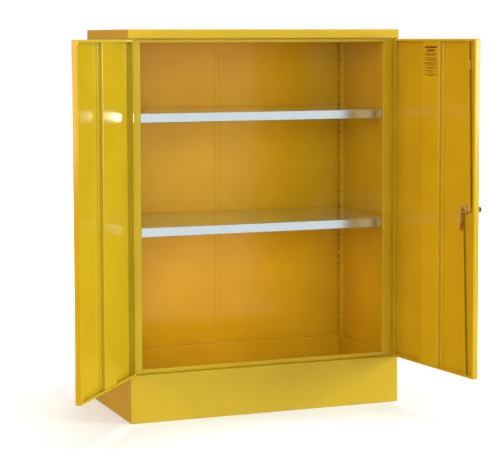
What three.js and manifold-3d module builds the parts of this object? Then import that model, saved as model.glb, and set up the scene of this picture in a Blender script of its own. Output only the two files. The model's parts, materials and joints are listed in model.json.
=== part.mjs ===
// Flammable storage cabinet: a folded sheet-steel cupboard with two hinged doors, a sump,
// two galvanised shelves on slotted uprights and a lock that drives two bolt rods.
// Millimetres, +Z up, front towards -Y. The origin is at floor level, in the middle of the
// front plinth's turned-in foot flange.
import * as THREE from "three";
import { mergeVertices } from "three/addons/utils/BufferGeometryUtils.js";
import Module from "manifold-3d";

const wasm = await Module();
wasm.setup();

// Overall size and sheet metal
const WIDTH = 915;
const DEPTH = 457;
const HEIGHT = 1220;
const SHEET = 1.2; // steel sheet thickness
const GAP = 0.3; // clearance between pieces that touch
const HALF = WIDTH / 2;
const FOOT = 25; // width of the plinth's turned-in foot flange

// Heights of the shell
const PLINTH_TOP = 150;
const CAP_BOTTOM = 1191.5;
const SILL_TOP = 163.5;
const HEADER_BOTTOM = 1179.5;

// The recess that the closed doors fill
const RECESS = 21.5; // depth of the jamb faces behind the front
const JAMB_INNER = 413; // half width of the doorway
const JAMB_RETURN = 25; // depth of the turned-in edge beside the doorway
const JAMB_FLANGE = 18; // depth of the flange on the side sheet
const LEDGE = RECESS + SHEET; // depth of the front ledges of plinth and cap
const RIM = 11; // width of the flanges turned in at the sides and back
const RAIL_DEPTH = 12.5; // depth of the header and sill behind the jamb faces

// Sump tray
const SUMP_FLOOR = 75;
const SUMP_HALF = 443; // half width inside
const SUMP_FRONT = 36.2;
const SUMP_BACK = 444;
const SUMP_RIM = { front: 23, half: 455.7, back: 454 };

// Slotted uprights
const UPRIGHT_FACE = 443; // half distance between the slotted faces
const UPRIGHT_WIDTH = 30;
const UPRIGHT_FOOT = 8;
const UPRIGHT_FRONTS = { front: 79, rear: 425.4 };
const SLOT = { width: 13, height: 7, pitch: 25.4, first: 176.6, count: 40 };

// Shelves
const SHELF_HALF = 440.5;
const SHELF_FRONT = 28;
const SHELF_BACK = 443;
const SHELF_NOSE = 410; // half width of the part that reaches forward between the jambs
const SHELF_NOTCH = 48; // where the notches for the jambs end
const SHELF_LIP = 30;
const SHELF_HEM = 10;
const SHELF_FLANGE = 20;
const SHELF_TOPS = { lower: 606.4, upper: 962 };
const CLIP = { width: 11, reach: 16, height: 22, thickness: 2, hook: 4 };
const SLOT_BELOW_DECK = 23.4; // from a shelf's top down to the slots that carry it

// Back, made of two sheets with a joggled lap
const BACK_LAP = { edge: -12, joggle: 2.3, end: 1.3 };

// Doors, in door coordinates: x from the hinge axis, y from the hinge axis inwards
const HINGE_X = 453.5;
const HINGE_Y = 4.5;
const OPEN_ANGLE = { left: 127.5, right: 97 };
const DOOR = { near: 4.5, far: 452, skin: -4, inner: 16, bottom: 152, top: 1189 };
const DOOR_LIP = 8;
const DOOR_BACK = DOOR.skin + SHEET + GAP; // where pieces on the inside of the skin start
const STIFFENER = { start: 160, end: 256, foot: 12, crown: 12 };
const MEETING_STRIP = { from: 440, to: 462, margin: 16 };

// Continuous hinge
const KNUCKLE = 4; // outer radius
const PIN = 1.5; // radius
const PIN_HOLE = 1.66;
const KNUCKLES = 18;
const HINGE_BOTTOM = 156;
const HINGE_TOP = 1185;
const KNUCKLE_SIDES = 10;
const FIXED_LEAF = { x: 1.3, root: 2.9, start: 4.6, end: 16 }; // from the hinge axis
const DOOR_LEAF = { x: 3, root: 0.6, start: 3.2, end: 15 };

// Lock and bolt rods, in door coordinates
const LOCK = { x: 394, z: 669, barrel: 9, barrelEnd: 0.3, flange: 16, flangeThickness: 2 };
const LOCK_NUT = { radius: 14, thickness: 2.5 };
const SPINDLE = { radius: 5, hole: 5.3, tip: 4, tipHole: 4.3, end: 10 };
const HANDLE = { neck: 8, back: -20, front: -33, half: 30, height: 8 };
const CAM = { from: 0.8, to: 3.2, radius: 9, hub: 11, hubEnd: 14 };
const CAM_SCREW = { radius: 5.5, from: 14.3, to: 15.7 };
const PIN_ARM = 18.5; // distance from the lock axis to each rod's end
const ROD = { half: 7, from: 3.8, to: 6.8, rivet: 4.5 };
const ROD_TOP = { x: 398, z: 1187.3 };
const ROD_BOTTOM = { x: 394.5, z: 153.7 };
const ROD_SLOT = { x: 400, half: 15, from: 2.3, to: 8.3 };
const KEEPER = { x: 396.5, half: 13, depth: 7 }; // slots in the ledges that take the rods
const LINK = { bottom: 614.3, half: 5, to: 6.3 };
const SPLICE = { bottom: 603, top: 625, half: 7, from: 7.1, to: 9.1 };
const GUIDE = { x: 400, half: 11.5, foot: 13, bottom: 1095, top: 1125, crown: 7.4 };

const PAINT = { color: 0xe6b422, roughness: 0.4, metalness: 0.1 };
const GALVANISED = { color: 0xc3cad2, roughness: 0.35, metalness: 0.85 };
const BRIGHT = { color: 0xd2cfc6, roughness: 0.2, metalness: 1 };
const DARK = { color: 0x2c2a28, roughness: 0.5, metalness: 0.5 };
const BROWN = { color: 0x8a4a20, roughness: 0.5, metalness: 0.6 };

const cabinet = new THREE.Group();
cabinet.position.y = -FOOT / 2;

// Solids -----------------------------------------------------------------------------------

function solid(geometry) {
  const bare = geometry.clone();
  bare.deleteAttribute("normal");
  bare.deleteAttribute("uv");
  const merged = mergeVertices(bare, 1e-3);
  return new wasm.Manifold(
    new wasm.Mesh({
      numProp: 3,
      vertProperties: merged.attributes.position.array,
      triVerts: new Uint32Array(merged.index.array),
    }),
  );
}

function geometryOf(manifold) {
  const mesh = manifold.getMesh();
  const geometry = new THREE.BufferGeometry();
  geometry.setAttribute("position", new THREE.BufferAttribute(mesh.vertProperties, 3));
  geometry.setIndex(new THREE.BufferAttribute(mesh.triVerts, 1));
  return geometry;
}

const union = (parts) => parts.reduce((sum, part) => sum.add(part));
const cut = (body, tools) => tools.reduce((rest, tool) => rest.subtract(tool), body);

function block(x0, x1, y0, y1, z0, z1) {
  const box = new THREE.BoxGeometry(x1 - x0, y1 - y0, z1 - z0);
  return solid(box.translate((x0 + x1) / 2, (y0 + y1) / 2, (z0 + z1) / 2));
}

// Where an extruded outline's two axes and its length run. Each set is right-handed.
const ALONG = {
  x: [new THREE.Vector3(0, 1, 0), new THREE.Vector3(0, 0, 1), new THREE.Vector3(1, 0, 0)],
  y: [new THREE.Vector3(0, 0, 1), new THREE.Vector3(1, 0, 0), new THREE.Vector3(0, 1, 0)],
  z: [new THREE.Vector3(1, 0, 0), new THREE.Vector3(0, 1, 0), new THREE.Vector3(0, 0, 1)],
};

function extrude(shape, axis, from, to, curveSegments = 8) {
  const options = { depth: to - from, bevelEnabled: false, curveSegments };
  const geometry = new THREE.ExtrudeGeometry(shape, options).translate(0, 0, from);
  return geometry.applyMatrix4(new THREE.Matrix4().makeBasis(...ALONG[axis]));
}

// A sheet folded along an open path, SHEET thick, lying to the left of the path.
function folded(points, thickness = SHEET) {
  const path = points.map(([u, v]) => new THREE.Vector2(u, v));
  const normal = (i) => {
    const edge = path[i + 1].clone().sub(path[i]).normalize();
    return new THREE.Vector2(-edge.y, edge.x);
  };
  const offset = path.map((point, i) => {
    const before = normal(Math.max(i - 1, 0));
    const after = normal(Math.min(i, path.length - 2));
    const mitre = before.clone().add(after);
    return point.clone().addScaledVector(mitre, thickness / (1 + before.dot(after)));
  });
  return new THREE.Shape([...path, ...offset.reverse()]);
}

function disc(radius, axis, from, to, x, y, sides = 24) {
  const circle = new THREE.Shape().absarc(x, y, radius, 0, 2 * Math.PI);
  return solid(extrude(circle, axis, from, to, sides / 2));
}

function add(parent, name, geometry, look) {
  const mesh = new THREE.Mesh(geometry, new THREE.MeshStandardMaterial(look));
  mesh.name = name;
  parent.add(mesh);
  return mesh;
}

const addSolid = (parent, name, manifold, look) => add(parent, name, geometryOf(manifold), look);

// A piece drawn for the right side, and its mirror image for the left.
function addPair(prefix, geometry, look) {
  add(cabinet, prefix + "_right", geometry, look);
  add(cabinet, prefix + "_left", geometry, look).scale.x = -1;
}

// Shell ------------------------------------------------------------------------------------

const SIDE_TOP = PLINTH_TOP - SHEET - GAP; // the plinth's sides and back carry the sump's rim
const CORNER = HALF - SHEET - GAP; // where pieces between the side sheets end

// The closed right door's rods meet the front ledges here.
function keeperSlot(z0, z1) {
  const x = HINGE_X - KEEPER.x;
  const y = HINGE_Y + (ROD.from + ROD.to - KEEPER.depth) / 2;
  return block(x - KEEPER.half, x + KEEPER.half, y, y + KEEPER.depth, z0, z1);
}

// A shallow box, open below, with a flange turned in round its lower edge.
function roofCap() {
  const flangeTop = CAP_BOTTOM + SHEET;
  const body = block(-HALF, HALF, 0, DEPTH, CAP_BOTTOM, HEIGHT);
  const inside = block(
    SHEET - HALF, HALF - SHEET, SHEET, DEPTH - SHEET, flangeTop, HEIGHT - SHEET,
  );
  const mouth = block(
    RIM - HALF, HALF - RIM, LEDGE, DEPTH - RIM, CAP_BOTTOM - 1, flangeTop + 1,
  );
  return cut(body, [inside, mouth, keeperSlot(CAP_BOTTOM - 1, flangeTop + 1)]);
}

// Takes the flanges off both ends of a front or back channel, so that its face alone
// reaches the corners.
function endReliefs(y0, y1) {
  const tool = (x0, x1) => block(x0, x1, y0, y1, -1, PLINTH_TOP + 1);
  return [tool(-HALF - 1, -CORNER), tool(CORNER, HALF + 1)];
}

function plinthFront() {
  const channel = folded([
    [LEDGE, PLINTH_TOP], [0, PLINTH_TOP], [0, 0], [FOOT, 0],
  ]);
  const body = solid(extrude(channel, "x", -HALF, HALF));
  const keeper = keeperSlot(PLINTH_TOP - SHEET - 1, PLINTH_TOP + 1);
  return cut(body, [keeper, ...endReliefs(SHEET, FOOT + 1)]);
}

function plinthBack() {
  const channel = folded([
    [DEPTH - FOOT, 0], [DEPTH, 0], [DEPTH, SIDE_TOP], [DEPTH - RIM, SIDE_TOP],
  ]);
  const body = solid(extrude(channel, "x", -HALF, HALF));
  return cut(body, endReliefs(DEPTH - FOOT - 1, DEPTH - SHEET));
}

function plinthSide() {
  const channel = folded([
    [SIDE_TOP, HALF - RIM], [SIDE_TOP, HALF], [0, HALF], [0, HALF - FOOT],
  ]);
  const start = SHEET + GAP;
  const end = DEPTH - SHEET - GAP;
  const body = solid(extrude(channel, "y", start, end));
  const relief = (y0, y1) => block(0, HALF - SHEET, y0, y1, -1, PLINTH_TOP);
  return cut(body, [
    relief(0, FOOT + GAP),
    relief(DEPTH - FOOT - GAP, DEPTH),
  ]);
}

function sidePanel() {
  const front = HINGE_Y + KNUCKLE + 1;
  return block(HALF - SHEET, HALF, front, DEPTH, SIDE_TOP + GAP, CAP_BOTTOM - GAP);
}

function backLeft() {
  const { end } = BACK_LAP;
  return block(-CORNER, end, DEPTH - SHEET, DEPTH, SIDE_TOP + GAP, CAP_BOTTOM - GAP);
}

// Its inner edge steps forward over the left sheet's edge.
function backRight() {
  const { edge, joggle } = BACK_LAP;
  const face = DEPTH - SHEET;
  const lap = face - SHEET - GAP;
  const profile = folded([
    [edge, lap], [joggle, lap], [joggle + face - lap, face], [CORNER, face],
  ]);
  return extrude(profile, "z", SIDE_TOP + GAP, CAP_BOTTOM - GAP);
}

function jamb() {
  const profile = folded([
    [JAMB_INNER, RECESS + JAMB_RETURN],
    [JAMB_INNER, RECESS],
    [CORNER, RECESS],
    [CORNER, RECESS + JAMB_FLANGE],
  ]);
  return extrude(profile, "z", PLINTH_TOP + GAP, CAP_BOTTOM - GAP);
}

// The header above the doorway, or the sill below it.
function rail(bottom, top) {
  const back = RECESS + RAIL_DEPTH;
  const channel = folded([[back, top], [RECESS, top], [RECESS, bottom], [back, bottom]]);
  return extrude(channel, "x", GAP - JAMB_INNER, JAMB_INNER - GAP);
}

function sumpTray() {
  const wallHalf = SUMP_HALF + SHEET;
  const tray = block(
    -wallHalf, wallHalf, SUMP_FRONT - SHEET, SUMP_BACK + SHEET, SUMP_FLOOR, PLINTH_TOP,
  );
  const rim = block(
    -SUMP_RIM.half, SUMP_RIM.half, SUMP_RIM.front, SUMP_RIM.back, PLINTH_TOP - SHEET,
    PLINTH_TOP,
  );
  const inside = block(
    -SUMP_HALF, SUMP_HALF, SUMP_FRONT, SUMP_BACK, SUMP_FLOOR + SHEET, PLINTH_TOP + 1,
  );
  return tray.add(rim).subtract(inside);
}

function addShell() {
  addSolid(cabinet, "roof_cap", roofCap(), PAINT);
  addSolid(cabinet, "plinth_front", plinthFront(), PAINT);
  addSolid(cabinet, "plinth_back", plinthBack(), PAINT);
  addPair("plinth_side", geometryOf(plinthSide()), PAINT);
  addPair("side_panel", geometryOf(sidePanel()), PAINT);
  addSolid(cabinet, "back_panel_left", backLeft(), PAINT);
  add(cabinet, "back_panel_right", backRight(), PAINT);
  addPair("jamb", jamb(), PAINT);
  add(cabinet, "header_rail", rail(HEADER_BOTTOM, CAP_BOTTOM - GAP), PAINT);
  add(cabinet, "sill_rail", rail(PLINTH_TOP + GAP, SILL_TOP), PAINT);
  addSolid(cabinet, "sump_tray", sumpTray(), PAINT);
}

// Uprights, shelves and clips --------------------------------------------------------------

// A hat section on the side sheet, its crown slotted all the way up.
function upright(front, hasRearFoot) {
  const back = front + UPRIGHT_WIDTH;
  const root = CORNER - SHEET;
  const rearFoot = hasRearFoot ? [[root, back + UPRIGHT_FOOT]] : [];
  const hat = folded([
    ...rearFoot,
    [root, back],
    [UPRIGHT_FACE, back],
    [UPRIGHT_FACE, front],
    [root, front],
    [root, front - UPRIGHT_FOOT],
  ]);
  const body = solid(extrude(hat, "z", PLINTH_TOP + GAP, CAP_BOTTOM - GAP));
  const slotFront = front + (UPRIGHT_WIDTH - SLOT.width) / 2;
  const slots = Array.from({ length: SLOT.count }, (_, i) => {
    const z = SLOT.first + i * SLOT.pitch;
    const face = UPRIGHT_FACE;
    return block(
      face - 1, face + 2 * SHEET, slotFront, slotFront + SLOT.width,
      z - SLOT.height / 2, z + SLOT.height / 2,
    );
  });
  return geometryOf(cut(body, slots));
}

// A deck with its edges folded down: a deep hemmed lip in front, which reaches forward between
// the jambs, and flanges at the sides and back.
function shelf(top) {
  const under = top - SHEET;
  const bottom = top - SHELF_LIP;
  const hemTop = bottom + SHEET;
  const flangeBottom = top - SHELF_FLANGE;
  const inner = SHELF_HALF - SHEET;
  const wide = SHELF_HALF + 1;
  const back = SHELF_BACK + 1;
  const behindHem = SHELF_FRONT + SHELF_HEM;
  return cut(
    block(-SHELF_HALF, SHELF_HALF, SHELF_FRONT, SHELF_BACK, bottom, top),
    [
      block(-wide, -SHELF_NOSE, SHELF_FRONT - 1, SHELF_NOTCH, bottom - 1, top + 1),
      block(SHELF_NOSE, wide, SHELF_FRONT - 1, SHELF_NOTCH, bottom - 1, top + 1),
      block(-wide, wide, behindHem, back, bottom - 1, flangeBottom),
      block(-wide, wide, SHELF_FRONT + SHEET, SHELF_NOTCH, hemTop, under),
      block(-inner, inner, SHELF_NOTCH - 1, SHELF_BACK - SHEET, flangeBottom - 1, under),
    ],
  );
}

// A bracket that hooks through a slot and carries the shelf's side flange on its ledge.
function clip(uprightFront, shelfTop) {
  const face = UPRIGHT_FACE - GAP;
  const front = uprightFront + (UPRIGHT_WIDTH - CLIP.width) / 2;
  const ledge = shelfTop - SHELF_FLANGE - GAP;
  const slot = shelfTop - SLOT_BELOW_DECK;
  const tongue = slot - SLOT.height / 2 + GAP;
  const hookX = UPRIGHT_FACE + SHEET + GAP;
  const tongueTop = tongue + CLIP.thickness;
  const part = (x0, x1, z0, z1) => block(x0, x1, front, front + CLIP.width, z0, z1);
  return geometryOf(union([
    part(face - CLIP.reach, face, ledge - CLIP.thickness, ledge),
    part(face - CLIP.thickness, face, ledge - CLIP.height, ledge),
    part(face - CLIP.thickness, hookX + CLIP.thickness, tongue, tongueTop),
    part(hookX, hookX + CLIP.thickness, tongue - CLIP.hook, tongueTop),
  ]));
}

function addStorage() {
  for (const [place, front] of Object.entries(UPRIGHT_FRONTS)) {
    addPair("upright_" + place, upright(front, place === "front"), PAINT);
    for (const [level, top] of Object.entries(SHELF_TOPS)) {
      addPair(`clip_${level}_${place}`, clip(front, top), GALVANISED);
    }
  }
  for (const [level, top] of Object.entries(SHELF_TOPS)) {
    addSolid(cabinet, "shelf_" + level, shelf(top), GALVANISED);
  }
}

// Hinges -----------------------------------------------------------------------------------

// One leaf about a vertical axis at (x, y), with every second knuckle from the given one.
function hingeLeaf(x, y, leaf, first) {
  const pitch = (HINGE_TOP - HINGE_BOTTOM) / KNUCKLES;
  const pieces = [
    block(
      x + leaf.x, x + leaf.x + SHEET, y + leaf.start, y + leaf.end, HINGE_BOTTOM, HINGE_TOP,
    ),
  ];
  const holes = [];
  for (let i = first; i < KNUCKLES; i += 2) {
    const from = HINGE_BOTTOM + i * pitch + GAP / 2;
    const to = HINGE_BOTTOM + (i + 1) * pitch - GAP / 2;
    pieces.push(disc(KNUCKLE, "z", from, to, x, y, KNUCKLE_SIDES));
    pieces.push(
      block(x + leaf.x, x + leaf.x + SHEET, y + leaf.root, y + leaf.end, from, to),
    );
    holes.push(disc(PIN_HOLE, "z", from - 1, to + 1, x, y, KNUCKLE_SIDES));
  }
  return geometryOf(cut(union(pieces), holes));
}

function addHinges() {
  addPair("hinge_frame_leaf", hingeLeaf(HINGE_X, HINGE_Y, FIXED_LEAF, 0), PAINT);
  const pin = disc(PIN, "z", HINGE_BOTTOM, HINGE_TOP, HINGE_X, HINGE_Y, KNUCKLE_SIDES);
  addPair("hinge_pin", geometryOf(pin), BRIGHT);
}

// Doors ------------------------------------------------------------------------------------

// A round bar about the lock's axis.
const atLock = (radius, from, to, sides) => disc(radius, "y", from, to, LOCK.z, LOCK.x, sides);

// A folded pan: skin outside, returns on all four edges and a lip turned in round the back.
function doorPan(openings) {
  const { near, far, skin, inner, bottom, top } = DOOR;
  const body = block(near, far, skin, inner, bottom, top);
  const inside = block(
    near + SHEET, far - SHEET, skin + SHEET, inner - SHEET, bottom + SHEET, top - SHEET,
  );
  const mouth = block(
    near + DOOR_LIP, far - DOOR_LIP, inner - SHEET - 1, inner + 1, bottom + DOOR_LIP,
    top - DOOR_LIP,
  );
  return geometryOf(cut(body, [inside, mouth, ...openings]));
}

// The lock's hole in the skin and the rods' slots in the top and bottom returns.
function lockOpenings() {
  const { x, half, from, to } = ROD_SLOT;
  const through = 2 * SHEET;
  const slot = (z) => block(x - half, x + half, from, to, z - through, z + through);
  const hole = atLock(LOCK.barrel + GAP, DOOR.skin - 1, DOOR.skin + SHEET + 1);
  return [hole, slot(DOOR.bottom), slot(DOOR.top)];
}

function stiffener() {
  const { start, end, foot, crown } = STIFFENER;
  const hat = folded([
    [start - foot, DOOR_BACK],
    [start, DOOR_BACK],
    [start, crown],
    [end, crown],
    [end, DOOR_BACK],
    [end + foot, DOOR_BACK],
  ]);
  return extrude(hat, "z", DOOR.bottom + SHEET + GAP, DOOR.top - SHEET - GAP);
}

// Covers the gap between the doors, behind the right door's edge.
function meetingStrip() {
  const { from, to, margin } = MEETING_STRIP;
  const face = DOOR.inner + GAP;
  return block(from, to, face, face + SHEET, DOOR.bottom + margin, DOOR.top - margin);
}

// A door's group: x runs from the hinge axis along the door and y inwards, so the right
// door's group is mirrored.
function addDoor(side, openings) {
  const sign = side === "right" ? 1 : -1;
  const door = new THREE.Group();
  door.position.set(sign * HINGE_X, HINGE_Y, 0);
  door.rotation.z = sign * THREE.MathUtils.degToRad(OPEN_ANGLE[side]);
  door.scale.x = -sign;
  cabinet.add(door);
  add(door, "door_pan_" + side, doorPan(openings), PAINT);
  add(door, "door_stiffener_" + side, stiffener(), PAINT);
  add(door, "hinge_door_leaf_" + side, hingeLeaf(0, 0, DOOR_LEAF, 1), PAINT);
  return door;
}

// Lock and rods ----------------------------------------------------------------------------

function lockBarrel() {
  const flangeFrom = DOOR.skin - GAP - LOCK.flangeThickness;
  const flange = atLock(LOCK.flange, flangeFrom, DOOR.skin - GAP);
  const barrel = atLock(LOCK.barrel, flangeFrom, LOCK.barrelEnd);
  return cut(union([flange, barrel]), [atLock(SPINDLE.hole, flangeFrom - 1, CAM.from)]);
}

function lockNut() {
  const to = DOOR_BACK + LOCK_NUT.thickness;
  const nut = atLock(LOCK_NUT.radius, DOOR_BACK, to, 6);
  return cut(nut, [atLock(LOCK.barrel + GAP, DOOR_BACK - 1, to + 1)]);
}

// A plate with two round ends, across the lock's axis.
function stadium(halfLength, radius, from, to) {
  const outline = new THREE.Shape();
  outline.absarc(LOCK.z, LOCK.x + halfLength - radius, radius, 0, Math.PI);
  outline.absarc(LOCK.z, LOCK.x - halfLength + radius, radius, Math.PI, 2 * Math.PI);
  return solid(extrude(outline, "y", from, to));
}

// The T-handle outside, with the spindle that carries the cam.
function lockHandle() {
  const { neck, back, front, half, height } = HANDLE;
  const neckFrom = DOOR.skin - 2 * GAP - LOCK.flangeThickness;
  return union([
    stadium(half, height, front, back),
    atLock(neck, back - 1, neckFrom),
    atLock(SPINDLE.radius, neckFrom - 1, LOCK.barrelEnd),
    atLock(SPINDLE.tip, LOCK.barrelEnd - 1, SPINDLE.end, 12),
  ]);
}

// A plate with a pin for each rod at its ends, on a round hub.
function lockCam() {
  const plate = stadium(PIN_ARM + CAM.radius, CAM.radius, CAM.from, CAM.to);
  const hub = atLock(CAM.hub, CAM.from, CAM.hubEnd);
  return cut(plate.add(hub), [atLock(SPINDLE.tipHole, CAM.from - 1, SPINDLE.end + 1, 12)]);
}

const camScrew = () => atLock(CAM_SCREW.radius, CAM_SCREW.from, CAM_SCREW.to, 12);

// A flat bar with one round end.
function bar(roundZ, roundX, squareZ, squareX, half, to) {
  const sign = Math.sign(roundZ - squareZ);
  const outline = new THREE.Shape();
  outline.moveTo(squareZ, squareX + sign * half);
  outline.lineTo(squareZ, squareX - sign * half);
  outline.absarc(roundZ, roundX, half, (-sign * Math.PI) / 2, (sign * Math.PI) / 2);
  return solid(extrude(outline, "y", ROD.from, to));
}

const rivet = (x) => disc(ROD.rivet, "y", LINK.to - 1, ROD.to + 1.3, LOCK.z, x, 12);

function upperRod() {
  const end = LOCK.x + PIN_ARM;
  return bar(LOCK.z, end, ROD_TOP.z, ROD_TOP.x, ROD.half, ROD.to).add(rivet(end));
}

function lowerRod() {
  const top = LINK.bottom - GAP;
  const end = LOCK.x - PIN_ARM;
  const { half, from, to } = ROD;
  const outline = new THREE.Shape([
    new THREE.Vector2(top, end - half),
    new THREE.Vector2(top, end + half),
    new THREE.Vector2(ROD_BOTTOM.z, ROD_BOTTOM.x + half),
    new THREE.Vector2(ROD_BOTTOM.z, ROD_BOTTOM.x - half),
  ]);
  return extrude(outline, "y", from, to);
}

function lowerLink() {
  const x = LOCK.x - PIN_ARM;
  return bar(LOCK.z, x, LINK.bottom, x, LINK.half, LINK.to).add(rivet(x));
}

function rodSplice() {
  const { half, from, to, bottom, top } = SPLICE;
  const x = LOCK.x - PIN_ARM;
  return block(x - half, x + half, from, to, bottom, top);
}

function rodGuide() {
  const { x, half, foot, bottom, top, crown } = GUIDE;
  const hat = folded([
    [x - half - foot, DOOR_BACK],
    [x - half, DOOR_BACK],
    [x - half, crown],
    [x + half, crown],
    [x + half, DOOR_BACK],
    [x + half + foot, DOOR_BACK],
  ]);
  return extrude(hat, "z", bottom, top);
}

function addLock(door) {
  addSolid(door, "lock_barrel", lockBarrel(), BRIGHT);
  addSolid(door, "lock_nut", lockNut(), BRIGHT);
  addSolid(door, "lock_handle", lockHandle(), DARK);
  addSolid(door, "lock_cam", lockCam(), BRIGHT);
  addSolid(door, "cam_screw", camScrew(), BRIGHT);
  addSolid(door, "rod_upper", upperRod(), PAINT);
  add(door, "rod_lower", lowerRod(), PAINT);
  addSolid(door, "rod_lower_link", lowerLink(), DARK);
  addSolid(door, "rod_splice", rodSplice(), BROWN);
  add(door, "rod_guide", rodGuide(), PAINT);
}

addShell();
addStorage();
addHinges();
const leftDoor = addDoor("left", []);
addSolid(leftDoor, "meeting_strip", meetingStrip(), PAINT);
addLock(addDoor("right", lockOpenings()));

const part = new THREE.Group();
part.add(cabinet);

export default part;
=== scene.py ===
import json
import math

import bmesh
import bpy
from mathutils import Matrix, Vector


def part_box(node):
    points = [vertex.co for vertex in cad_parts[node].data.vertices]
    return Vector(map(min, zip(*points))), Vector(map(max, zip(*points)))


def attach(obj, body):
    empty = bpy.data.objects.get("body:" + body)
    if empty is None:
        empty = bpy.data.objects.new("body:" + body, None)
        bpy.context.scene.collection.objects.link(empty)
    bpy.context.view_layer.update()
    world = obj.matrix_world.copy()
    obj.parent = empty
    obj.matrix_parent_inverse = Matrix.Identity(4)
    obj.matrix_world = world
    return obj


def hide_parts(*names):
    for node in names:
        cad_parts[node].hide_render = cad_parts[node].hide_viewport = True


# Flammable storage cabinet: folded, powder-coated sheet steel with galvanised shelves.
# Each sheet piece is built as its middle surface, which is folded with real bend radii and
# then thickened. Lengths are millimetres in cabinet coordinates (x right, y back from the
# front plane, z up) or door coordinates (s from the hinge axis, d inwards, z up).

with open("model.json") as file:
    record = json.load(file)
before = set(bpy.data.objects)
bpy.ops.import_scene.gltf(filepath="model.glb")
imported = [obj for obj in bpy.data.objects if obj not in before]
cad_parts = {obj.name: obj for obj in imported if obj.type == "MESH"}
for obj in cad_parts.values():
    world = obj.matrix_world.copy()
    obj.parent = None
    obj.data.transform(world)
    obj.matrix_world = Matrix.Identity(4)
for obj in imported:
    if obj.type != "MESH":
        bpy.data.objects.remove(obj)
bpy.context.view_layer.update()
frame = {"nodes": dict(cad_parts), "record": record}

MM = 0.001
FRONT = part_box("plinth_front")[0].y  # the front plane in the part's frame

# Sheet metal
SHEET = 1.2
HALF_SHEET = SHEET / 2
BEND = 1.7  # radius of the middle surface in a bend
SOFT_BEND = 2.6  # the larger bends of cap, doors and plinth
SHELF_BEND = 2.4
STIFFENER_BEND = 3.6
BEND_STEPS = 5
FOLD_ANGLE = 30  # degrees: sharper edges of a surface or a solid are rounded
CUT_ANGLE = 50  # degrees: only the cut edges of a thickened sheet are as sharp
CUT_EDGE = 0.22  # rounding of cut edges
GAP = 0.3  # clearance between neighbouring pieces
IN_PLANE = 1e-3  # how near a plane a vertex has to be to lie in it
SAME_POINT = 1e-4

# Shell
WIDTH, DEPTH, HEIGHT = 915, 457, 1220
HALF = WIDTH / 2
PLINTH_TOP = 150
SIDE_TOP = PLINTH_TOP - SHEET - GAP
CAP_BOTTOM = 1191.5
SILL_TOP = 163.5
HEADER_BOTTOM = 1179.5
RECESS = 21.5
JAMB_INNER = 413
JAMB_RETURN = 25
JAMB_FLANGE = 18
LEDGE = RECESS + SHEET
RAIL_BACK = RECESS + 12.5
RIM = 11  # the narrow flanges of the cap and of the plinth's top
FOOT = 25  # the wide flanges the plinth stands on
CORNER = HALF - SHEET - GAP
SIDE_FRONT = 9.5
CORNER_WRAP = 7  # how far the plinth's front sheet turns round onto the sides

SUMP = {"floor": 75, "half": 443, "front": 36.2, "back": 444}
SUMP_RIM = {"front": 23, "half": 455.7, "back": 454}
BACK_LAP = {"edge": -12, "joggle": 2.3, "end": 1.3}

# Storage
UPRIGHT_FACE = 443
UPRIGHT_WIDTH = 30
UPRIGHT_FOOT = 8
UPRIGHT_FRONTS = {"front": 79, "rear": 425.4}
SLOT_WIDTH, SLOT_HEIGHT, SLOT_PITCH, FIRST_SLOT, SLOTS = 13, 7, 25.4, 176.6, 40
SHELF_TOPS = {"lower": 606.4, "upper": 962}
SHELF = {"half": 440.5, "front": 28, "back": 443, "nose": 410, "notch": 48}
SHELF_LIP, SHELF_HEM, SHELF_FLANGE = 30, 10, 20
CLIP_WIDTH, CLIP_REACH, CLIP_HEIGHT, CLIP_SHEET = 11, 16, 22, 2
CLIP_EDGE = 0.4
SLOT_BELOW_DECK = 23.4

# Doors
HINGE_X, HINGE_Y = 453.5, 4.5
OPEN_ANGLE = {"left": 127.5, "right": 97}
DOOR = {"near": 4.5, "far": 452, "skin": -4, "inner": 16, "bottom": 152, "top": 1189}
DOOR_LIP = 8
DOOR_BACK = DOOR["skin"] + SHEET + GAP
STIFFENER = {"start": 160, "end": 256, "foot": 12, "crown": 12}
MEETING_STRIP = {"from": 440, "to": 462, "margin": 16}
PANEL = {"from": 174, "to": 248, "top": 1166}
INK_HEIGHT = 0.1
# Each bar's height, the gap under it, and how far its ends are drawn in
PANEL_BARS = (
    [(6, 4, 4), (6, 5, 16)]
    + [(1.7, 2.3, 0), (1.7, 2.3, 3), (1.7, 5, 10)] * 3
    + [(1.7, 2.3, 0), (1.7, 5, 22)] * 3
)

# Hinges
KNUCKLE, PIN = 4, 1.5
KNUCKLES = 41
HINGE_BOTTOM, HINGE_TOP = 156, 1185
FRAME_LEAF = {"x": 1.3, "root": 2.9, "end": 16}
DOOR_LEAF = {"x": 3, "root": 0.6, "end": 15}
LEAF_START = 4.6
LEAF_OVERLAP = 0.4  # how far the knuckles' roots reach into the leaf
LEAF_EDGE = 0.2
KNUCKLE_EDGE, KNUCKLE_SIDES = 0.35, 20
PIN_EDGE, PIN_SIDES, PIN_ROUNDING = 0.5, 16, 0.1

# Lock
ROD_SLOT = {"s": 400, "half": 15, "from": 2.3, "to": 8.3}
GUIDE = {"s": 400, "half": 11.5, "foot": 13, "bottom": 1095, "top": 1125, "crown": 7.4}
CAD_MERGE = 0.02
CAD_FLAT_ANGLE = 1

# Stage, in metres
STAGE_RADIUS = 60
BACKDROP_SIDES = 48
FLOOR_TONES = (0.8, 0.9, 0.94, 1), (0.82, 0.92, 0.96, 1)
SHADOW_GLOW = (0.02, 0.04, 0.1, 1)  # the floor's own light under the cabinet
GLOW_FROM, GLOW_TO = 0.8, 1.8  # distance over which it rises to white
WHITE = (1, 1, 1, 1)
NO_COLOUR = (0, 0, 0, 1)

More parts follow.
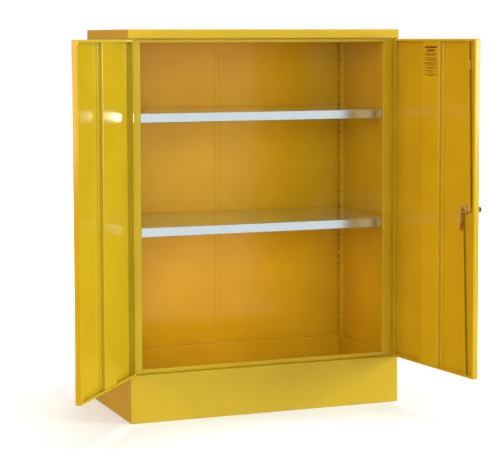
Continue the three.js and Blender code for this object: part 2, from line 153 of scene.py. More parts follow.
# Surroundings: brighter to the front right, warm and dim elsewhere
BRIGHT_SIDE = (0.38, -0.92, 0.0)
BRIGHT_TONE = (0.92, 0.96, 0.97, 1)
SHADE_TONE = (0.42, 0.27, 0.15, 1)
BRIGHT_FROM, BRIGHT_TO = 0.3, 0.96  # cosine of the angle from the bright side

# Lights: place, aim, size in metres, power in watts, colour
CABINET_MIDDLE = (0, 0.1, 0.6)
NEUTRAL_TONE = (1, 1, 1)
AREA_LIGHTS = {
    "front": ((-2.0, -4.9, 1.8), CABINET_MIDDLE, (1.6, 1.6), 56, (0.97, 0.97, 0.82)),
    "key": ((4.4, -2.9, 1.4), CABINET_MIDDLE, (2.0, 2.0), 195, (1.0, 0.97, 0.82)),
    "edge": ((3.7, -3.95, 1.05), (0.5, -0.45, 1.05), (0.4, 0.9), 16, NEUTRAL_TONE),
    "warm": ((-4.6, -1.9, 1.5), CABINET_MIDDLE, (2.0, 2.2), 140, (1.0, 0.64, 0.34)),
}
BEHIND_LIGHT = ((2.5, 5.0, 2.0), CABINET_MIDDLE, (2.0, 2.0), 70, NEUTRAL_TONE)
# One in each bay, standing in for light that bounces inside. They are aimed straight back, so
# that closed doors stay in front of them.
BAY_LIGHT_X, BAY_LIGHT_Y, BAY_LIGHT_AIM_Y = -0.05, 0.03, 0.44
BAY_LIGHT_SIZE = (0.6, 0.12)
BAY_LIGHT_TONE = (1.0, 0.5, 0.28)
BAY_LIGHTS = {"bottom": (0.38, 1.7), "middle": (0.79, 1.3), "top": (1.08, 1.1)}
OVERHEAD_STRENGTH, OVERHEAD_SPREAD = 2.1, 40

# Camera: place in mm in cabinet coordinates, angles in degrees
IMAGE_WIDTH = 500
FOCAL_PIXELS = 1703.8
SENSOR_WIDTH = 36
CAMERA = {"at": (-1992.4, -4982.3, 1193.3), "yaw": 21.189, "pitch": 4.919, "roll": -0.14}
CAMERA_SHIFT = -0.08
CAMERA_REACH = 100


# Placing --------------------------------------------------------------------------------

def cabinet_place(point):
    """Cabinet coordinates in mm to the part's frame in metres."""
    x, y, z = point
    return Vector((x * MM, y * MM + FRONT, z * MM))


def mirrored(place):
    return lambda point: place((-point[0], point[1], point[2]))


def door_place(side):
    """Door coordinates in mm to the part's frame in metres, with the door at rest."""
    sign = 1 if side == "right" else -1
    turn = Matrix.Rotation(sign * math.radians(OPEN_ANGLE[side]), 3, "Z")

    def place(point):
        s, d, z = point
        swung = turn @ Vector((-sign * s, d, z))
        return cabinet_place((sign * HINGE_X + swung.x, HINGE_Y + swung.y, z))

    return place


SIDES = {"right": cabinet_place, "left": mirrored(cabinet_place)}


# Meshes ---------------------------------------------------------------------------------

def new_piece(name, bm, place, body, material, replaces=()):
    """A mesh object from a bmesh in local mm, placed, riding on its body."""
    for vert in bm.verts:
        vert.co = place(vert.co)
    bmesh.ops.recalc_face_normals(bm, faces=bm.faces)
    mesh = bpy.data.meshes.new(name)
    bm.to_mesh(mesh)
    bm.free()
    obj = bpy.data.objects.new(name, mesh)
    bpy.context.collection.objects.link(obj)
    mesh.materials.append(material)
    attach(obj, body)
    if replaces:
        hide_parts(*replaces)
    return obj


def modify(obj, kind, **settings):
    modifier = obj.modifiers.new(kind.lower(), kind)
    for key, value in settings.items():
        setattr(modifier, key, value)


def smooth_faces(obj):
    for poly in obj.data.polygons:
        poly.use_smooth = True


def bake_modifiers(obj):
    """Turns the modified shape into the object's own mesh, smooth with flat faces kept flat."""
    modify(obj, "WEIGHTED_NORMAL", mode="FACE_AREA", weight=50)
    graph = bpy.context.evaluated_depsgraph_get()
    graph.update()
    mesh = bpy.data.meshes.new_from_object(
        obj.evaluated_get(graph), preserve_all_data_layers=True, depsgraph=graph,
    )
    old = obj.data
    obj.modifiers.clear()
    obj.data = mesh
    bpy.data.meshes.remove(old)
    mesh.name = obj.name


def round_edges(obj, width, angle, segments=2):
    modify(
        obj, "BEVEL", width=width * MM, segments=segments, limit_method="ANGLE",
        angle_limit=math.radians(angle), use_clamp_overlap=True,
    )


def sheet_piece(name, bm, place, body, material, replaces, bend=0, thickness=SHEET):
    """A folded sheet from its middle surface. bend rounds the folds that bm leaves sharp."""
    obj = new_piece(name, bm, place, body, material, replaces)
    smooth_faces(obj)
    if bend:
        round_edges(obj, bend, FOLD_ANGLE, BEND_STEPS)
    modify(
        obj, "SOLIDIFY", thickness=thickness * MM, offset=0, use_even_offset=True,
        use_quality_normals=True,
    )
    round_edges(obj, CUT_EDGE, CUT_ANGLE)
    bake_modifiers(obj)


def solid_piece(name, bm, place, body, material, replaces, width):
    """A solid piece with rounded edges."""
    obj = new_piece(name, bm, place, body, material, replaces)
    smooth_faces(obj)
    round_edges(obj, width, FOLD_ANGLE, 3)
    bake_modifiers(obj)


def filleted(path, radius):
    """The path with each corner replaced by an arc."""
    points = [Vector(p) for p in path]
    result = [points[0]]
    for before, corner, after in zip(points, points[1:], points[2:]):
        to_before = (before - corner).normalized()
        to_after = (after - corner).normalized()
        angle = to_before.angle(to_after)
        reach = radius / math.tan(angle / 2)
        centre = corner + (to_before + to_after).normalized() * (radius / math.sin(angle / 2))
        start = corner + to_before * reach - centre
        end = corner + to_after * reach - centre
        turn = start.angle_signed(end)
        for i in range(BEND_STEPS + 1):
            swing = Matrix.Rotation(-turn * i / BEND_STEPS, 2)
            result.append(centre + swing @ start)
    result.append(points[-1])
    return result


def offset_path(path, distance):
    """The path moved to its left by distance, with mitred corners."""
    points = [Vector(p) for p in path]
    last = len(points) - 2

    def normal(i):
        edge = (points[i + 1] - points[i]).normalized()
        return Vector((-edge.y, edge.x))

    moved = []
    for i, point in enumerate(points):
        before, after = normal(max(i - 1, 0)), normal(min(i, last))
        moved.append(point + (before + after) * (distance / (1 + before.dot(after))))
    return moved


def strip(path, axis, start, end, radius=BEND):
    """The middle surface of a sheet folded along path (its left-hand side is the metal) and
    drawn out along an axis. The path's two coordinates are the other axes, in x, y, z order."""
    bm = bmesh.new()
    middle = filleted(offset_path(path, HALF_SHEET), radius)

    def point(p, w):
        if axis == "x":
            return (w, p.x, p.y)
        if axis == "y":
            return (p.x, w, p.y)
        return (p.x, p.y, w)

    rows = [[bm.verts.new(point(p, w)) for p in middle] for w in (start, end)]
    for i in range(len(middle) - 1):
        bm.faces.new((rows[0][i], rows[0][i + 1], rows[1][i + 1], rows[1][i]))
    return bm


def rings(*loops):
    """Faces between successive four-cornered loops, with the first loop filled."""
    bm = bmesh.new()
    made = [[bm.verts.new(p) for p in loop] for loop in loops]
    bm.faces.new(made[0])
    for a, b in zip(made, made[1:]):
        for i in range(4):
            j = (i + 1) % 4
            bm.faces.new((a[i], a[j], b[j], b[i]))
    return bm


def cross_loop(x0, x1, y0, y1, z):
    return [(x0, y0, z), (x1, y0, z), (x1, y1, z), (x0, y1, z)]


def upright_loop(x0, x1, y, z0, z1):
    return [(x0, y, z0), (x1, y, z0), (x1, y, z1), (x0, y, z1)]


def punch(bm, axis, level, low, high):
    """A rectangular hole in the faces that lie in the plane axis = level."""
    others = [a for a in range(3) if a != axis]

    def flat_faces():
        return [f for f in bm.faces if all(abs(v.co[axis] - level) < IN_PLANE for v in f.verts)]

    for a in others:
        normal = Vector([float(i == a) for i in range(3)])
        for value in (low[a], high[a]):
            faces = flat_faces()
            geometry = faces + list({e for f in faces for e in f.edges})
            geometry += list({v for f in faces for v in f.verts})
            bmesh.ops.bisect_plane(
                bm, geom=geometry, dist=SAME_POINT, plane_co=normal * value,
                plane_no=normal,
            )
    inside = [
        f for f in flat_faces()
        if all(low[a] < f.calc_center_median()[a] < high[a] for a in others)
    ]
    bmesh.ops.delete(bm, geom=inside, context="FACES")


def lathe(profile, sides, centre=(0, 0)):
    """A solid turned about a vertical axis: profile is (radius, z) from end to end."""
    bm = bmesh.new()
    loops = []
    for radius, z in profile:
        loop = []
        for i in range(sides):
            angle = 2 * math.pi * i / sides
            x = centre[0] + radius * math.cos(angle)
            y = centre[1] + radius * math.sin(angle)
            loop.append(bm.verts.new((x, y, z)))
        loops.append(loop)
    for a, b in zip(loops, loops[1:]):
        for i in range(sides):
            j = (i + 1) % sides
            bm.faces.new((a[i], a[j], b[j], b[i]))
    bm.faces.new(loops[0])
    bm.faces.new(loops[-1])
    return bm


def closed_box(x0, x1, y0, y1, z0, z1):
    bm = rings(cross_loop(x0, x1, y0, y1, z0), cross_loop(x0, x1, y0, y1, z1))
    bmesh.ops.holes_fill(bm, edges=[e for e in bm.edges if e.is_boundary], sides=0)
    return bm


def join_into(target, other):
    """Adds another bmesh's geometry to target."""
    mesh = bpy.data.meshes.new("joined")
    other.to_mesh(mesh)
    other.free()
    target.from_mesh(mesh)
    bpy.data.meshes.remove(mesh)


# Materials ------------------------------------------------------------------------------

def linear(*srgb):
    return tuple(
        (c / 12.92 if c <= 0.04045 else ((c + 0.055) / 1.055) ** 2.4)
        for c in (v / 255 for v in srgb)
    ) + (1,)


class Nodes:
    """Adds and links the nodes of a material or a world."""

    def __init__(self, owner):
        owner.use_nodes = True
        self.tree = owner.node_tree

    def add(self, kind, inputs=None, **settings):
        node = self.tree.nodes.new("ShaderNode" + kind)
        for key, value in settings.items():
            setattr(node, key, value)
        for key, value in (inputs or {}).items():
            if isinstance(value, bpy.types.NodeSocket):
                self.tree.links.new(value, node.inputs[key])
            else:
                node.inputs[key].default_value = value
        return node

    def ramp(self, value, low, high, to_low, to_high):
        return self.add(
            "MapRange",
            {"Value": value, "From Min": low, "From Max": high, "To Min": to_low,
             "To Max": to_high},
        ).outputs["Result"]

    def mix(self, factor, a, b):
        node = self.add("Mix", data_type="RGBA")
        for key, value in (("Factor", factor), ("A", a), ("B", b)):
            socket = next(
                i for i in node.inputs
                if i.name == key and (key == "Factor" or i.type == "RGBA") and i.enabled
            )
            if isinstance(value, bpy.types.NodeSocket):
                self.tree.links.new(value, socket)
            else:
                socket.default_value = value
        return next(o for o in node.outputs if o.type == "RGBA" and o.enabled)


class Finish(Nodes):
    """The nodes of one material, with its shader and its object coordinates."""

    def __init__(self, name):
        self.material = bpy.data.materials.new(name)
        super().__init__(self.material)
        self.shader = self.tree.nodes["Principled BSDF"]
        self.coords = self.add("TexCoord").outputs["Object"]

    def noise(self, scale, detail, roughness=0.5):
        return self.add(
            "TexNoise",
            {"Vector": self.coords, "Scale": scale, "Detail": detail, "Roughness": roughness},
        ).outputs["Fac"]

    def bump(self, height, strength, distance, normal=None):
        inputs = {"Height": height, "Strength": strength, "Distance": distance}
        if normal:
            inputs["Normal"] = normal
        return self.add("Bump", inputs).outputs["Normal"]

    def set(self, **values):
        for key, value in values.items():
            socket = self.shader.inputs[key.replace("_", " ")]
            if isinstance(value, bpy.types.NodeSocket):
                self.tree.links.new(value, socket)
            else:
                socket.default_value = value
        return self.material


def paint(name, colour, deep, rough=(0.13, 0.24)):
    """Semi-gloss powder coat: fine orange peel, faint waviness of the sheet under it, slight
    colour drift and small matt scuffs."""
    n = Finish(name)
    drift = n.ramp(n.noise(5.0, 2.0), 0.35, 0.65, 0.0, 1.0)
    speck = n.ramp(n.noise(900.0, 2.0), 0.62, 0.75, 0.0, 0.35)
    base = n.mix(drift, colour, deep)
    base = n.mix(speck, base, deep)
    scuff = n.ramp(n.noise(38.0, 6.0, 0.65), 0.56, 0.74, 0.0, 1.0)
    roughness = n.ramp(scuff, 0.0, 1.0, *rough)
    wave = n.bump(n.noise(6.0, 1.0), 0.35, 0.0012)
    peel = n.bump(n.noise(620.0, 2.0), 0.16, 0.00035, wave)
    return n.set(
        Base_Color=base, Roughness=roughness, Normal=peel, Metallic=0.0, IOR=1.37,
    )


def galvanised(name):
    """Zinc-coated steel: crystal spangle, each crystal with its own tone and sheen."""
    n = Finish(name)
    stretched = n.add(
        "Mapping", {"Vector": n.coords, "Scale": (1.0, 1.3, 1.0)},
    ).outputs["Vector"]
    warp = n.add("TexNoise", {"Vector": n.coords, "Scale": 60.0}).outputs["Color"]
    warped = n.add(
        "VectorMath", {0: warp, 1: warp, 2: stretched}, operation="MULTIPLY_ADD",
    ).outputs["Vector"]
    cells = n.add("TexVoronoi", {"Vector": warped, "Scale": 75.0}).outputs["Color"]
    crystal = n.add("SeparateColor", {"Color": cells}).outputs["Red"]
    tone = n.mix(crystal, linear(196, 208, 214), linear(228, 238, 242))
    smudge = n.ramp(n.noise(14.0, 4.0), 0.4, 0.7, 0.0, 0.5)
    tone = n.mix(smudge, tone, linear(208, 218, 222))
    roughness = n.ramp(crystal, 0.0, 1.0, 0.07, 0.14)
    grain = n.bump(n.noise(1400.0, 2.0), 0.08, 0.0001)
    facets = n.bump(crystal, 0.05, 0.0002, grain)
    return n.set(Base_Color=tone, Metallic=0.9, Roughness=roughness, Normal=facets)


def plated(name, light, dark, rough):
    """Bright plating with fine turning marks and a little tarnish."""
    n = Finish(name)
    tarnish = n.ramp(n.noise(120.0, 4.0), 0.45, 0.75, 0.0, 1.0)
    colour = n.mix(tarnish, light, dark)
    roughness = n.ramp(n.noise(300.0, 3.0), 0.3, 0.7, *rough)
    marks = n.bump(n.noise(2500.0, 2.0), 0.1, 0.00008)
    return n.set(Base_Color=colour, Metallic=1.0, Roughness=roughness, Normal=marks)


def dull_coat(name, colour, worn, rough=(0.35, 0.55)):
    """Thin dull coating or ink with rubbed patches and a fine grain."""
    n = Finish(name)
    rubbed = n.ramp(n.noise(160.0, 5.0, 0.6), 0.55, 0.75, 0.0, 0.6)
    base = n.mix(rubbed, colour, worn)
    roughness = n.ramp(n.noise(240.0, 3.0), 0.3, 0.7, *rough)
    grain = n.bump(n.noise(1100.0, 2.0), 0.25, 0.00015)
    return n.set(Base_Color=base, Metallic=0.1, Roughness=roughness, Normal=grain)


YELLOW = paint("yellow_powder_coat", linear(195, 169, 32), linear(189, 162, 28))
ZINC = galvanised("galvanised_steel")
CHROME = plated("bright_plating", linear(238, 234, 222), linear(206, 198, 178), (0.22, 0.36))
STEEL = plated("zinc_plated_steel", linear(178, 160, 118), linear(140, 122, 82), (0.34, 0.5))
BLACK = dull_coat("black_coating", linear(28, 26, 24), linear(64, 60, 54))
BROWN = dull_coat("red_brown_primer", linear(150, 92, 30), linear(128, 84, 36))
INK = dull_coat("printed_ink", linear(112, 58, 20), linear(136, 82, 28), (0.4, 0.5))


# Shell ----------------------------------------------------------------------------------

def shell_piece(node, bm, bend=0, place=cabinet_place, material=YELLOW):
    sheet_piece(node + "_sheet", bm, place, "cabinet", material, [node], bend)


def make_cap():
    out, low, top = HALF - HALF_SHEET, CAP_BOTTOM + HALF_SHEET, HEIGHT - HALF_SHEET
    back = DEPTH - HALF_SHEET
    shell_piece("roof_cap", rings(
        cross_loop(-out, out, HALF_SHEET, back, top),
        cross_loop(-out, out, HALF_SHEET, back, low),
        cross_loop(RIM - HALF, HALF - RIM, LEDGE, DEPTH - RIM, low),
    ), bend=SOFT_BEND)


def plinth_front_surface():
    """Front face with its top and bottom flanges, wrapped a little way round the corners."""
    low, high = HALF_SHEET, PLINTH_TOP - HALF_SHEET
    out, inner = HALF - HALF_SHEET, CORNER
    y0, y1 = HALF_SHEET, CORNER_WRAP
    bm = bmesh.new()

    def face(*corners):
        bm.faces.new([bm.verts.new(c) for c in corners])

    face((-out, y0, low), (out, y0, low), (out, y0, high), (-out, y0, high))
    for x in (-out, out):
        face((x, y0, low), (x, y1, low), (x, y1, high), (x, y0, high))
    for z, end in ((low, FOOT), (high, LEDGE)):
        face(
            (-out, y0, z), (out, y0, z), (out, y1, z), (inner, y1, z), (-inner, y1, z),
            (-out, y1, z),
        )
        face((-inner, y1, z), (inner, y1, z), (inner, end, z), (-inner, end, z))
    bmesh.ops.remove_doubles(bm, verts=bm.verts, dist=SAME_POINT)
    return bm


def make_plinth():
    shell_piece("plinth_front", plinth_front_surface(), bend=SOFT_BEND)
    back = strip(
        [(DEPTH - FOOT, 0), (DEPTH, 0), (DEPTH, SIDE_TOP), (DEPTH - RIM, SIDE_TOP)],
        "x", -CORNER, CORNER, SOFT_BEND,
    )
    shell_piece("plinth_back", back)
    for side, place in SIDES.items():
        wall = strip(
            [(HALF - RIM, SIDE_TOP), (HALF, SIDE_TOP), (HALF, 0), (HALF - FOOT, 0)][::-1],
            "y", CORNER_WRAP + GAP / 2, DEPTH - GAP, SOFT_BEND,
        )
        shell_piece("plinth_side_" + side, wall, place=place)


def make_walls():
    low, high = SIDE_TOP + GAP, CAP_BOTTOM - GAP
    x = HALF - HALF_SHEET
    for side, place in SIDES.items():
        bm = bmesh.new()
        corners = [(x, SIDE_FRONT, low), (x, DEPTH, low), (x, DEPTH, high), (x, SIDE_FRONT, high)]
        bm.faces.new([bm.verts.new(p) for p in corners])
        shell_piece("side_panel_" + side, bm, place=place)
        jamb = strip(
            [
                (JAMB_INNER, RECESS + JAMB_RETURN), (JAMB_INNER, RECESS), (CORNER, RECESS),
                (CORNER, RECESS + JAMB_FLANGE),
            ],
            "z", PLINTH_TOP + GAP, CAP_BOTTOM - GAP,
        )
        shell_piece("jamb_" + side, jamb, place=place)
    left = strip([(-CORNER, DEPTH - SHEET), (BACK_LAP["end"], DEPTH - SHEET)], "z", low, high)
    shell_piece("back_panel_left", left)
    face = DEPTH - SHEET
    lap = face - SHEET - GAP
    joggle = BACK_LAP["joggle"]
    right = strip(
        [(BACK_LAP["edge"], lap), (joggle, lap), (joggle + face - lap, face), (CORNER, face)],
        "z", low, high,
    )
    shell_piece("back_panel_right", right)


def make_rails():
    for node, low, high in (
        ("header_rail", HEADER_BOTTOM, CAP_BOTTOM - GAP),
        ("sill_rail", PLINTH_TOP + GAP, SILL_TOP),
    ):
        channel = strip(
            [(RAIL_BACK, high), (RECESS, high), (RECESS, low), (RAIL_BACK, low)],
            "x", GAP - JAMB_INNER, JAMB_INNER - GAP,
        )
        shell_piece(node, channel)


def make_sump():
    half = SUMP["half"] + HALF_SHEET
    front, back = SUMP["front"] - HALF_SHEET, SUMP["back"] + HALF_SHEET
    rim_level = PLINTH_TOP - HALF_SHEET
    shell_piece("sump_tray", rings(
        cross_loop(-half, half, front, back, SUMP["floor"] + HALF_SHEET),
        cross_loop(-half, half, front, back, rim_level),
        cross_loop(
            -SUMP_RIM["half"], SUMP_RIM["half"], SUMP_RIM["front"], SUMP_RIM["back"], rim_level,
        ),
    ), bend=SOFT_BEND)


# Uprights, shelves and clips ------------------------------------------------------------

def make_upright(side, where):
    front = UPRIGHT_FRONTS[where]
    back = front + UPRIGHT_WIDTH
    root = CORNER - SHEET
    rear_foot = [(root, back + UPRIGHT_FOOT)] if where == "front" else []
    hat = strip(
        rear_foot + [
            (root, back), (UPRIGHT_FACE, back), (UPRIGHT_FACE, front), (root, front),
            (root, front - UPRIGHT_FOOT),
        ],
        "z", PLINTH_TOP + GAP, CAP_BOTTOM - GAP,
    )
    slot_front = front + (UPRIGHT_WIDTH - SLOT_WIDTH) / 2
    level = UPRIGHT_FACE + HALF_SHEET
    for i in range(SLOTS):
        z = FIRST_SLOT + i * SLOT_PITCH
        punch(
            hat, 0, level, (0, slot_front, z - SLOT_HEIGHT / 2),
            (0, slot_front + SLOT_WIDTH, z + SLOT_HEIGHT / 2),
        )
    shell_piece(f"upright_{where}_{side}", hat, place=SIDES[side])


def make_shelf(level, top):
    """Deck with side and back flanges and a hemmed lip that reaches forward between the jambs."""
    half, nose = SHELF["half"] - HALF_SHEET, SHELF["nose"]
    front, back = SHELF["front"] + HALF_SHEET, SHELF["back"] - HALF_SHEET
    notch, hem = SHELF["notch"], SHELF["front"] + SHELF_HEM
    deck, low = top - HALF_SHEET, top - SHELF_FLANGE
    lip = top - SHELF_LIP + HALF_SHEET
    bm = bmesh.new()

    def face(*corners):
        bm.faces.new([bm.verts.new(c) for c in corners])

    face(
        (-nose, front, deck), (nose, front, deck), (nose, notch, deck), (half, notch, deck),
        (half, back, deck), (-half, back, deck), (-half, notch, deck), (-nose, notch, deck),
    )
    for x in (-half, half):
        face((x, notch, deck), (x, back, deck), (x, back, low), (x, notch, low))
    face((-half, back, deck), (half, back, deck), (half, back, low), (-half, back, low))
    face((-nose, front, deck), (nose, front, deck), (nose, front, lip), (-nose, front, lip))
    face((-nose, front, lip), (nose, front, lip), (nose, hem, lip), (-nose, hem, lip))
    bmesh.ops.remove_doubles(bm, verts=bm.verts, dist=SAME_POINT)
    shell_piece("shelf_" + level, bm, bend=SHELF_BEND, material=ZINC)


def make_clip(level, top, where, side):
    face = UPRIGHT_FACE - GAP
    front = UPRIGHT_FRONTS[where] + (UPRIGHT_WIDTH - CLIP_WIDTH) / 2
    ledge = top - SHELF_FLANGE - GAP
    tongue = top - SLOT_BELOW_DECK - SLOT_HEIGHT / 2 + GAP
    hook = UPRIGHT_FACE + SHEET + GAP
    t = CLIP_SHEET
    back = front + CLIP_WIDTH
    bm = closed_box(face - CLIP_REACH, face, front, back, ledge - t, ledge)
    join_into(bm, closed_box(face - t, face, front, back, ledge - CLIP_HEIGHT, ledge - t / 2))
    join_into(bm, closed_box(face - t, hook + t, front, back, tongue, tongue + t))
    join_into(bm, closed_box(hook, hook + t, front, back, tongue - 2 * t, tongue + t / 2))
    node = f"clip_{level}_{where}_{side}"
    solid_piece(node + "_hook", bm, SIDES[side], "cabinet", ZINC, [node], CLIP_EDGE)


def make_storage():
    for side in SIDES:
        for where in UPRIGHT_FRONTS:
            make_upright(side, where)
            for level, top in SHELF_TOPS.items():
                make_clip(level, top, where, side)
    for level, top in SHELF_TOPS.items():
        make_shelf(level, top)


# Hinges ---------------------------------------------------------------------------------

def hinge_leaf(centre, leaf, first):
    """A leaf's plate with every second knuckle, rolled round the axis."""
    x, y = centre
    pitch = (HINGE_TOP - HINGE_BOTTOM) / KNUCKLES
    bm = closed_box(
        x + leaf["x"], x + leaf["x"] + SHEET, y + LEAF_START, y + leaf["end"],
        HINGE_BOTTOM, HINGE_TOP,
    )
    edge = KNUCKLE_EDGE
    for i in range(first, KNUCKLES, 2):
        low = HINGE_BOTTOM + i * pitch + GAP / 2
        high = low + pitch - GAP
        join_into(bm, lathe(
            [(KNUCKLE - edge, low), (KNUCKLE, low + edge), (KNUCKLE, high - edge),
             (KNUCKLE - edge, high)], KNUCKLE_SIDES, centre,
        ))
        join_into(bm, closed_box(
            x + leaf["x"], x + leaf["x"] + SHEET, y + leaf["root"],
            y + LEAF_START + LEAF_OVERLAP, low, high,
        ))
    return bm


def make_frame_hinges():
    for side, place in SIDES.items():
        node = "hinge_frame_leaf_" + side
        leaf = hinge_leaf((HINGE_X, HINGE_Y), FRAME_LEAF, 0)
        solid_piece(node + "_rolled", leaf, place, "cabinet", YELLOW, [node], LEAF_EDGE)
        node = "hinge_pin_" + side
        edge = PIN_EDGE
        pin = lathe(
            [(PIN - edge, HINGE_BOTTOM), (PIN, HINGE_BOTTOM + edge), (PIN, HINGE_TOP - edge),
             (PIN - edge, HINGE_TOP)], PIN_SIDES, (HINGE_X, HINGE_Y),
        )
        solid_piece(node + "_turned", pin, place, "cabinet", CHROME, [node], PIN_ROUNDING)


# Doors ----------------------------------------------------------------------------------

def make_door(side):
    place = door_place(side)
    body = side + "_door"
    near, far = DOOR["near"] + HALF_SHEET, DOOR["far"] - HALF_SHEET
    low, high = DOOR["bottom"] + HALF_SHEET, DOOR["top"] - HALF_SHEET
    skin, back = DOOR["skin"] + HALF_SHEET, DOOR["inner"] - HALF_SHEET
    pan = rings(
        upright_loop(near, far, skin, low, high),
        upright_loop(near, far, back, low, high),
        upright_loop(
            DOOR["near"] + DOOR_LIP, DOOR["far"] - DOOR_LIP, back,
            DOOR["bottom"] + DOOR_LIP, DOOR["top"] - DOOR_LIP,
        ),
    )
    if side == "right":
        start = (ROD_SLOT["s"] - ROD_SLOT["half"], ROD_SLOT["from"], 0)
        end = (ROD_SLOT["s"] + ROD_SLOT["half"], ROD_SLOT["to"], 0)
        for level in (low, high):
            punch(pan, 2, level, start, end)
    sheet_piece(
        f"door_pan_{side}_sheet", pan, place, body, YELLOW, [f"door_pan_{side}"], SOFT_BEND,
    )
    start, end, foot = STIFFENER["start"], STIFFENER["end"], STIFFENER["foot"]
    crown = STIFFENER["crown"]
    hat = strip(
        [
            (start - foot, DOOR_BACK), (start, DOOR_BACK), (start, crown), (end, crown),
            (end, DOOR_BACK), (end + foot, DOOR_BACK),
        ],
        "z", DOOR["bottom"] + SHEET + GAP, DOOR["top"] - SHEET - GAP, STIFFENER_BEND,
    )
    node = "door_stiffener_" + side
    sheet_piece(node + "_sheet", hat, place, body, YELLOW, [node])
    node = "hinge_door_leaf_" + side
    leaf = hinge_leaf((0, 0), DOOR_LEAF, 1)
    solid_piece(node + "_rolled", leaf, place, body, YELLOW, [node], LEAF_EDGE)


def make_meeting_strip():
    face = DOOR["inner"] + GAP + HALF_SHEET
    margin = MEETING_STRIP["margin"]
    bm = bmesh.new()
    loop = upright_loop(
        MEETING_STRIP["from"], MEETING_STRIP["to"], face, DOOR["bottom"] + margin,
        DOOR["top"] - margin,
    )
    bm.faces.new([bm.verts.new(p) for p in loop])
    sheet_piece(
        "meeting_strip_sheet", bm, door_place("left"), "left_door", YELLOW, ["meeting_strip"],
    )


def make_printed_panel():
    """Dark bars in place of the notice printed on the right stiffener; they stand for no words."""
    depth = STIFFENER["crown"] + SHEET + INK_HEIGHT
    bm = bmesh.new()
    z = PANEL["top"]
    for bar, gap, inset in PANEL_BARS:
        low = z - bar
        loop = upright_loop(PANEL["from"] + inset, PANEL["to"] - inset, depth, low, z)
        bm.faces.new([bm.verts.new(p) for p in loop])
        z = low - gap
    sheet_piece(
        "printed_panel", bm, door_place("right"), "right_door", INK, [], thickness=INK_HEIGHT,
    )


# Lock and rods --------------------------------------------------------------------------

def refined(node, width, material):
    """A copy of a CAD node with its triangles merged into faces and its edges rounded."""
    source = frame["nodes"][node]
    bm = bmesh.new()
    bm.from_mesh(source.data)
    bmesh.ops.remove_doubles(bm, verts=bm.verts, dist=CAD_MERGE * MM)
    bmesh.ops.dissolve_limit(
        bm, angle_limit=math.radians(CAD_FLAT_ANGLE), verts=bm.verts, edges=bm.edges,
    )
    bodies = frame["record"]["behaviour"]["bodies"]
    body = next(name for name, nodes in bodies.items() if node in nodes)
    solid_piece(node + "_fine", bm, Vector, body, material, [node], width)


# Each node's edge rounding and finish
LOCK_FINISHES = {
    "lock_barrel": (0.6, CHROME), "lock_nut": (0.5, STEEL), "lock_handle": (2.2, BLACK),
    "lock_cam": (0.5, CHROME), "cam_screw": (0.4, STEEL), "rod_upper": (0.4, YELLOW),
    "rod_lower": (0.4, YELLOW), "rod_lower_link": (0.4, STEEL), "rod_splice": (0.5, BROWN),
}


def make_lock():
    for node, (width, material) in LOCK_FINISHES.items():
        refined(node, width, material)
    s, half, foot, crown = GUIDE["s"], GUIDE["half"], GUIDE["foot"], GUIDE["crown"]
    guide = strip(
        [
            (s - half - foot, DOOR_BACK), (s - half, DOOR_BACK), (s - half, crown),
            (s + half, crown), (s + half, DOOR_BACK), (s + half + foot, DOOR_BACK),
        ],
        "z", GUIDE["bottom"], GUIDE["top"],
    )
    place = door_place("right")
    sheet_piece("rod_guide_sheet", guide, place, "right_door", YELLOW, ["rod_guide"])


# Stage ----------------------------------------------------------------------------------

def stage_piece(name, bm, material):
    """Scenery that only the camera sees, so that it doesn't tint the object."""
    mesh = bpy.data.meshes.new(name)
    bm.to_mesh(mesh)
    bm.free()
    obj = bpy.data.objects.new(name, mesh)
    bpy.context.collection.objects.link(obj)
    mesh.materials.append(material)
    obj.visible_diffuse = obj.visible_glossy = obj.visible_shadow = False


def make_stage():
    size = STAGE_RADIUS
    bm = bmesh.new()
    corners = [(-size, -size), (size, -size), (size, size), (-size, size)]
    bm.faces.new([bm.verts.new((x, y, 0)) for x, y in corners])
    n = Finish("pale_floor")
    tone = n.mix(n.noise(2.0, 2.0), *FLOOR_TONES)
    away = n.add("VectorMath", {0: n.coords}, operation="LENGTH").outputs["Value"]
    glow = n.mix(n.ramp(away, GLOW_FROM, GLOW_TO, 0.0, 1.0), SHADOW_GLOW, WHITE)
    stage_piece("floor", bm, n.set(
        Base_Color=tone, Roughness=0.6, Specular_IOR_Level=0.1, Emission_Color=glow,
        Emission_Strength=1.0,
    ))
    bm = lathe([(size, -1), (size, size)], BACKDROP_SIDES)
    n = Finish("pale_backdrop")
    stage_piece("backdrop", bm, n.set(
        Base_Color=NO_COLOUR, Emission_Color=WHITE, Emission_Strength=1.0,
    ))


def add_area(name, location, target, size, power, colour):
    light = bpy.data.lights.new(name, "AREA")
    light.shape = "RECTANGLE"
    light.size, light.size_y = size
    light.energy = power
    light.color = colour
    obj = bpy.data.objects.new(name, light)
    bpy.context.collection.objects.link(obj)
    obj.location = location
    direction = Vector(target) - Vector(location)
    obj.rotation_euler = direction.to_track_quat("-Z", "Y").to_euler()
    return obj


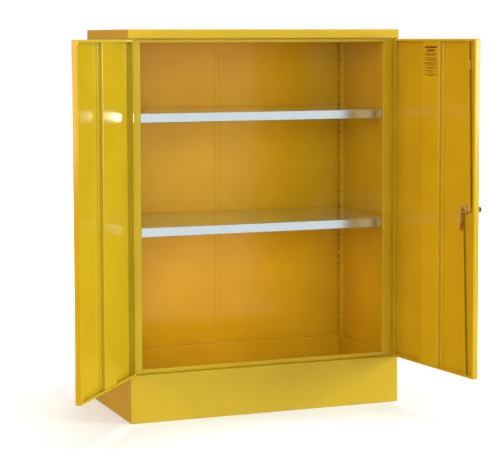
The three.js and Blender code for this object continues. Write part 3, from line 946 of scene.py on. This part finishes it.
def make_world():
    """Soft surroundings, brighter to the front right, warm and dim elsewhere."""
    world = bpy.data.worlds.new("studio")
    bpy.context.scene.world = world
    n = Nodes(world)
    direction = n.add("TexCoord").outputs["Generated"]
    bright = Vector(BRIGHT_SIDE).normalized()
    facing = n.add(
        "VectorMath", {0: direction, 1: bright}, operation="DOT_PRODUCT",
    ).outputs["Value"]
    side = n.ramp(facing, BRIGHT_FROM, BRIGHT_TO, 0.0, 1.0)
    surroundings = n.mix(side, SHADE_TONE, BRIGHT_TONE)
    background = n.tree.nodes["Background"]
    n.tree.links.new(surroundings, background.inputs["Color"])
    background.inputs["Strength"].default_value = 1.0


def make_lights():
    for name, settings in AREA_LIGHTS.items():
        add_area(name, *settings)
    hidden = [add_area("behind", *BEHIND_LIGHT)]
    for bay, (z, power) in BAY_LIGHTS.items():
        place, aim = (BAY_LIGHT_X, BAY_LIGHT_Y, z), (BAY_LIGHT_X, BAY_LIGHT_AIM_Y, z)
        hidden.append(
            add_area("inside_" + bay, place, aim, BAY_LIGHT_SIZE, power, BAY_LIGHT_TONE)
        )
    for light in hidden:
        light.visible_glossy = light.visible_camera = False
    sun = bpy.data.lights.new("overhead", "SUN")
    sun.energy, sun.angle = OVERHEAD_STRENGTH, math.radians(OVERHEAD_SPREAD)
    bpy.context.collection.objects.link(bpy.data.objects.new("overhead", sun))
    make_world()


def make_camera():
    yaw, pitch, roll = (math.radians(CAMERA[k]) for k in ("yaw", "pitch", "roll"))
    forward = Vector((
        math.sin(yaw) * math.cos(pitch), math.cos(yaw) * math.cos(pitch), -math.sin(pitch),
    ))
    level = Vector((math.cos(yaw), -math.sin(yaw), 0))
    upward = level.cross(forward)
    right = level * math.cos(roll) + upward * math.sin(roll)
    up = upward * math.cos(roll) - level * math.sin(roll)
    data = bpy.data.cameras.new("camera")
    data.sensor_width = SENSOR_WIDTH
    data.lens = FOCAL_PIXELS / IMAGE_WIDTH * SENSOR_WIDTH
    data.shift_y = CAMERA_SHIFT
    data.clip_end = CAMERA_REACH
    camera = bpy.data.objects.new("camera", data)
    bpy.context.collection.objects.link(camera)
    rotation = Matrix((right, up, -forward)).transposed().to_4x4()
    camera.matrix_world = Matrix.Translation(cabinet_place(CAMERA["at"])) @ rotation
    bpy.context.scene.camera = camera


make_cap()
make_plinth()
make_walls()
make_rails()
make_sump()
make_storage()
make_frame_hinges()
make_door("left")
make_door("right")
make_meeting_strip()
make_printed_panel()
make_lock()
make_stage()
make_lights()
make_camera()
bpy.context.scene.view_settings.view_transform = "Standard"
